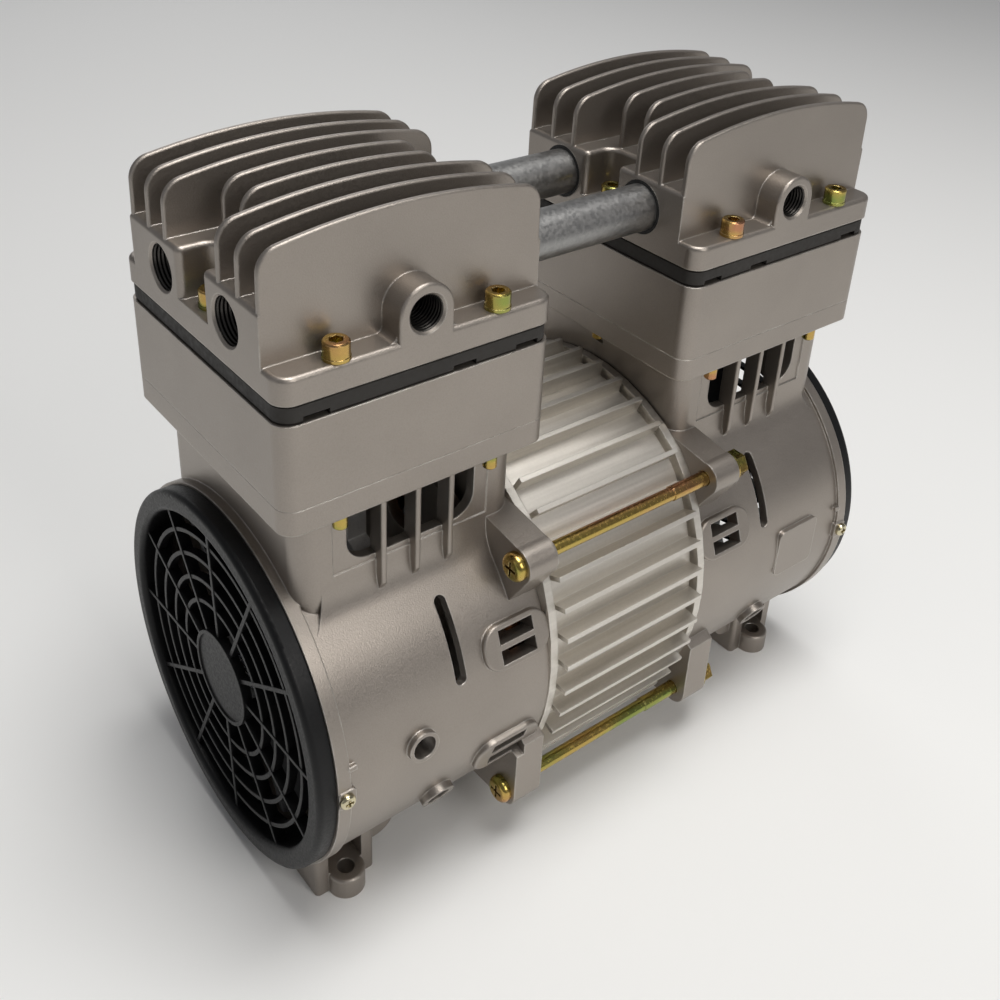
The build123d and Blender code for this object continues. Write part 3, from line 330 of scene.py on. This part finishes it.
def pipeSteel():
    values = dict(variation=0.07, scale=700.0, rough=(0.36, 0.44), depth=0.1, edge=0.0004, spangleScale=900.0,
                  dark=(0.29, 0.288, 0.283, 1), light=(0.36, 0.356, 0.348, 1))
    material, tree, shader = startMaterial("pipeSteel")
    coords = addNode(tree, "ShaderNodeTexCoord").outputs["Object"]
    spangle = addNode(tree, "ShaderNodeTexVoronoi")
    spangle.inputs["Scale"].default_value = values["spangleScale"]
    link(tree, coords, spangle.inputs["Vector"])
    tone = addNode(tree, "ShaderNodeRGBToBW")
    link(tree, spangle.outputs["Color"], tone.inputs["Color"])
    mixed = mixColour(tree, tone.outputs["Val"], values["dark"], values["light"])
    grain = grained(tree, values)
    link(tree, mixed, grain.inputs["Base"])
    link(tree, grain.outputs["Colour"], shader.inputs["Base Color"])
    link(tree, spread(tree, tone.outputs["Val"], 0.2, 0.8, *values["rough"]), shader.inputs["Roughness"])
    link(tree, grain.outputs["Normal"], shader.inputs["Normal"])
    shader.inputs["Metallic"].default_value = 1.0
    return material


threadPitch = 0.001337
portMargin = 0.0002        # reaches just past the wall of the hole
portShade = (0.07, 0.065, 0.06, 1)
mounts = {mount["name"]: mount for mount in frame["record"]["mounts"]}


def threaded(tree, shader, port):
    along = [abs(part) for part in port["axis"]]
    centre = [abs(place) * (1 - part) for place, part in zip(port["pos_m"], along)]
    relief = addNode(tree, "ShaderNodeGroup", node_tree=threadGroup)
    relief.inputs["Along"].default_value = along
    relief.inputs["Centre"].default_value = centre
    relief.inputs["Radius"].default_value = port["dims"]["r_mm"] / 1000 + portMargin
    relief.inputs["Pitch"].default_value = threadPitch
    bump = addNode(tree, "ShaderNodeBump")
    bump.inputs["Distance"].default_value = threadDepth
    link(tree, relief.outputs["Height"], bump.inputs["Height"])
    link(tree, shader.inputs["Normal"].links[0].from_socket, bump.inputs["Normal"])
    link(tree, bump.outputs["Normal"], shader.inputs["Normal"])
    painted = shader.inputs["Base Color"].links[0].from_socket
    shaded = mixColour(tree, relief.outputs["Mask"], painted, portShade)
    link(tree, shaded, shader.inputs["Base Color"])


def headPaint():
    material = plainFinish("castPaint")
    material.name = "headPaint"
    shader = material.node_tree.nodes["Principled BSDF"]
    for name in ("right_rear_port", "right_rear_boss_port"):        # the other six are their mirrors
        threaded(material.node_tree, shader, mounts[name])
    return material


materials["headPaint"] = headPaint()
materials["yellowZinc"] = yellowZinc()
materials["pipeSteel"] = pipeSteel()
materials["extrudedAluminium"] = extrudedAluminium()

finishOfSlot = {
    "cast_casing": "castPaint", "cast_head": "headPaint", "bare_aluminium": "extrudedAluminium",
    "guard_plastic": "blackPlastic", "fan_plastic": "fanPlastic", "gasket": "gasketFibre",
    "valve_steel": "valveSteel", "spring_steel": "springSteel", "machined_steel": "machinedSteel",
    "sleeve_aluminium": "rodAluminium", "rod_aluminium": "rodAluminium", "cup_polymer": "cupPolymer",
    "yellow_zinc": "yellowZinc", "bright_zinc": "brightZinc", "seal_rubber": "sealRubber",
    "pipe_steel": "pipeSteel", "core_steel": "coreSteel", "winding_copper": "windingCopper",
}
slotOfNode = {row["node"]: row["material_slot"] for row in frame["record"]["subparts"]}
for name, piece in frame["nodes"].items():
    material = materials[finishOfSlot[slotOfNode[name]]]
    piece.data.materials.clear()
    piece.data.materials.append(material)
print("finishes set:", len(materials))


# floor, light and camera
studio = dict(floorSize=6.0, floorColour=(0.84, 0.84, 0.83, 1), worldColour=(0.95, 0.96, 1.0, 1),
              worldStrength=0.19)
lamps = {
    "keyLight": dict(place=(0.10, -1.3, 1.0), aim=(0, 0, 0.12), size=0.7, power=7.0,
                     colour=(1.0, 0.97, 0.93)),
    "topLight": dict(place=(0.1, -0.2, 1.6), aim=(0, 0, 0.15), size=0.8, power=18, colour=(1.0, 0.99, 0.97)),
    "backLight": dict(place=(0.5, 1.5, 0.9), aim=(0, 0, 0.12), size=0.9, power=3.0, colour=(1.0, 1.0, 1.0)),
    "sideLight": dict(place=(-1.5, 0.2, 0.5), aim=(0, 0, 0.12), size=0.8, power=0.5,
                      colour=(0.93, 0.96, 1.0)),
}
view = dict(azimuth=-39.5, elevation=28.8, roll=3.0, distance=0.4653, target=(-0.0120, 0.0, 0.1779),
            lens=43.64, shiftY=-0.15)


def makeFloor():
    mesh = bpy.data.meshes.new("floor")
    half = studio["floorSize"] / 2
    corners = [(-half, -half, 0), (half, -half, 0), (half, half, 0), (-half, half, 0)]
    mesh.from_pydata(corners, [], [(0, 1, 2, 3)])
    floor = bpy.data.objects.new("floor", mesh)
    bpy.context.scene.collection.objects.link(floor)
    material, tree, shader = startMaterial("floorPaper")
    shader.inputs["Base Color"].default_value = studio["floorColour"]
    shader.inputs["Roughness"].default_value = 0.9
    floor.data.materials.append(material)


def makeLight(name, place, aim, size, power, colour):
    data = bpy.data.lights.new(name, "AREA")
    data.size = size
    data.energy = power
    data.color = colour
    lamp = bpy.data.objects.new(name, data)
    lamp.location = place
    lamp.rotation_euler = (Vector(aim) - Vector(place)).to_track_quat("-Z", "Y").to_euler()
    bpy.context.scene.collection.objects.link(lamp)


def makeCamera():
    azimuth, elevation, roll = (math.radians(view[key]) for key in ("azimuth", "elevation", "roll"))
    back = Vector((math.sin(azimuth) * math.cos(elevation), -math.cos(azimuth) * math.cos(elevation),
                   math.sin(elevation)))
    right = (-back).cross(Vector((0, 0, 1))).normalized()
    up = right.cross(-back)
    side = math.cos(roll) * right + math.sin(roll) * up
    top = -math.sin(roll) * right + math.cos(roll) * up
    data = bpy.data.cameras.new("camera")
    data.sensor_width = 36.0
    data.lens = view["lens"]
    data.shift_y = view["shiftY"]
    data.clip_start = 0.01
    camera = bpy.data.objects.new("camera", data)
    place = Vector(view["target"]) + back * view["distance"]
    camera.matrix_world = Matrix.Translation(place) @ Matrix((side, top, back)).transposed().to_4x4()
    bpy.context.scene.collection.objects.link(camera)
    bpy.context.scene.camera = camera


world = bpy.data.worlds.new("studio")
world.use_nodes = True
world.node_tree.nodes["Background"].inputs["Color"].default_value = studio["worldColour"]
world.node_tree.nodes["Background"].inputs["Strength"].default_value = studio["worldStrength"]
bpy.context.scene.world = world
makeFloor()
for name, values in lamps.items():
    makeLight(name, **values)
makeCamera()
bpy.context.scene.view_settings.view_transform = "Standard"
print("studio ready")
